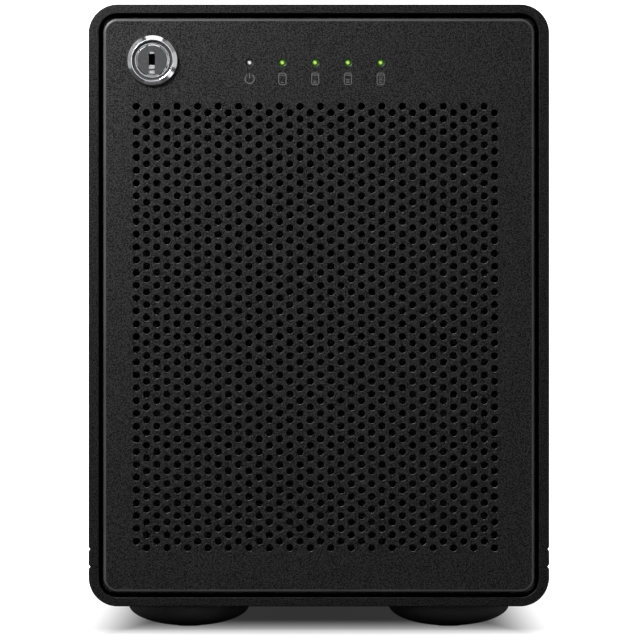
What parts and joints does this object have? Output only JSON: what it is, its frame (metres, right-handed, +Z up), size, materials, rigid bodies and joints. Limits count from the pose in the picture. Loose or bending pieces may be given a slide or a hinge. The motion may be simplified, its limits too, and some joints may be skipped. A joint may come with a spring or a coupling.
{
  "type": "nas enclosure",
  "caption": "Desktop network storage enclosure: a black rounded sleeve on rubber feet, a perforated lift-off door with a key lock and status lights, and drive trays behind it.",
  "frame": {"origin": "centre of the whole outline's box, on the plane that the feet stand on", "axes": "+X to the right seen from the front, +Y from the front to the back, +Z up"},
  "size_m": [0.135, 0.245, 0.1834],
  "materials": {
    "casing_black": "fine-textured black anodised aluminium",
    "foot_rubber": "matt black rubber",
    "zinc_screw": "bright zinc-plated steel",
    "black_screw": "black oxide steel",
    "frame_steel": "black powder coat",
    "cage_steel": "galvanised sheet steel",
    "rail_plastic": "natural moulded plastic",
    "circuit_board": "green solder mask",
    "black_plastic": "moulded black plastic",
    "ribbon_cable": "grey ribbon cable",
    "power_cable": "yellow sheathed wire",
    "heatsink_metal": "extruded aluminium",
    "brass_fitting": "turned brass",
    "led_lens": "milky lamp lens",
    "light_white": "lit white light pipe",
    "light_green": "lit green light pipe",
    "lock_chrome": "bright nickel plate",
    "lock_face": "dark brushed metal",
    "tray_steel": "dark grey powder coat",
    "drive_metal": "cast aluminium with a bright lid"
  },
  "bodies": {
    "chassis": {"cover_shell": "casing_black", "base_shell": "casing_black", "feet": "foot_rubber", "foot_screws": "zinc_screw", "front_frame": "frame_steel", "frame_screws": "zinc_screw", "stud_catches": "black_plastic", "lock_strike": "cage_steel", "cage_left": "cage_steel", "cage_right": "cage_steel", "guide_rails": "rail_plastic", "cage_floor": "cage_steel", "top_deck": "cage_steel", "backplane_board": "circuit_board", "drive_sockets": "black_plastic", "signal_ribbon": "ribbon_cable", "main_board": "circuit_board", "processor_heatsink": "heatsink_metal", "board_standoffs": "brass_fitting", "network_ports": "cage_steel", "usb_ports": "cage_steel", "led_board": "circuit_board", "status_leds": "led_lens", "led_ribbon": "ribbon_cable", "rear_panel": "casing_black", "rear_panel_screws": "black_screw", "fan_frame": "black_plastic", "fan_screws": "black_screw", "power_supply_case": "cage_steel", "power_inlet": "black_plastic", "power_lead": "power_cable", "switch_housing": "black_plastic"},
    "door": {"door_panel": "casing_black", "door_backing": "black_plastic", "door_studs": "brass_fitting", "power_light_pipe": "light_white", "drive_light_pipes": "light_green", "lock_body": "lock_chrome", "lock_nut": "lock_chrome"},
    "key_plug": {"lock_plug": "lock_face", "lock_cam": "lock_chrome", "cam_screw": "zinc_screw"},
    "fan_wheel": {"fan_rotor": "black_plastic"},
    "power_rocker": {"switch_rocker": "black_plastic"},
    "drawer_1": {"tray_1": "tray_steel", "tray_1_screws": "zinc_screw", "drive_1": "drive_metal"},
    "drawer_screw_1": {"tray_1_thumbscrew": "black_screw"},
    "drawer_2": {"tray_2": "tray_steel", "tray_2_screws": "zinc_screw", "drive_2": "drive_metal"},
    "drawer_screw_2": {"tray_2_thumbscrew": "black_screw"},
    "drawer_3": {"tray_3": "tray_steel", "tray_3_screws": "zinc_screw", "drive_3": "drive_metal"},
    "drawer_screw_3": {"tray_3_thumbscrew": "black_screw"},
    "drawer_4": {"tray_4": "tray_steel", "tray_4_screws": "zinc_screw", "drive_4": "drive_metal"},
    "drawer_screw_4": {"tray_4_thumbscrew": "black_screw"}
  },
  "joints": [
    {"name": "door_slide", "type": "slide", "parent": "chassis", "child": "door", "axis": [0, -1, 0], "range_m": [0, 0.2]},
    {"name": "key_turn", "type": "hinge", "parent": "door", "child": "key_plug", "pos_m": [-0.0488, -0.1135, 0.167], "axis": [0, 1, 0], "range_deg": [0, 90]},
    {"name": "fan_spin", "type": "hinge", "parent": "chassis", "child": "fan_wheel", "pos_m": [0, 0.107, 0.0995], "axis": [0, 1, 0], "continuous": true},
    {"name": "rocker_tilt", "type": "hinge", "parent": "chassis", "child": "power_rocker", "pos_m": [-0.006, 0.1149, 0.0315], "axis": [1, 0, 0], "range_deg": [-14, 0]},
    {"name": "drawer_1_slide", "type": "slide", "parent": "chassis", "child": "drawer_1", "axis": [0, -1, 0], "range_m": [0, 0.16]},
    {"name": "drawer_screw_1_turn", "type": "hinge", "parent": "drawer_1", "child": "drawer_screw_1", "pos_m": [0.0546, -0.1095, 0.1375], "axis": [0, 1, 0], "range_deg": [-900, 0]},
    {"name": "drawer_2_slide", "type": "slide", "parent": "chassis", "child": "drawer_2", "axis": [0, -1, 0], "range_m": [0, 0.16]},
    {"name": "drawer_screw_2_turn", "type": "hinge", "parent": "drawer_2", "child": "drawer_screw_2", "pos_m": [0.0546, -0.1095, 0.1055], "axis": [0, 1, 0], "range_deg": [-900, 0]},
    {"name": "drawer_3_slide", "type": "slide", "parent": "chassis", "child": "drawer_3", "axis": [0, -1, 0], "range_m": [0, 0.16]},
    {"name": "drawer_screw_3_turn", "type": "hinge", "parent": "drawer_3", "child": "drawer_screw_3", "pos_m": [0.0546, -0.1095, 0.0735], "axis": [0, 1, 0], "range_deg": [-900, 0]},
    {"name": "drawer_4_slide", "type": "slide", "parent": "chassis", "child": "drawer_4", "axis": [0, -1, 0], "range_m": [0, 0.16]},
    {"name": "drawer_screw_4_turn", "type": "hinge", "parent": "drawer_4", "child": "drawer_screw_4", "pos_m": [0.0546, -0.1095, 0.0415], "axis": [0, 1, 0], "range_deg": [-900, 0]}
  ],
  "couplings": [
    {"joint": "drawer_1_slide", "follows": "door_slide", "ratio": 0.8},
    {"joint": "drawer_2_slide", "follows": "door_slide", "ratio": 0.8},
    {"joint": "drawer_3_slide", "follows": "door_slide", "ratio": 0.8},
    {"joint": "drawer_4_slide", "follows": "door_slide", "ratio": 0.8}
  ]
}
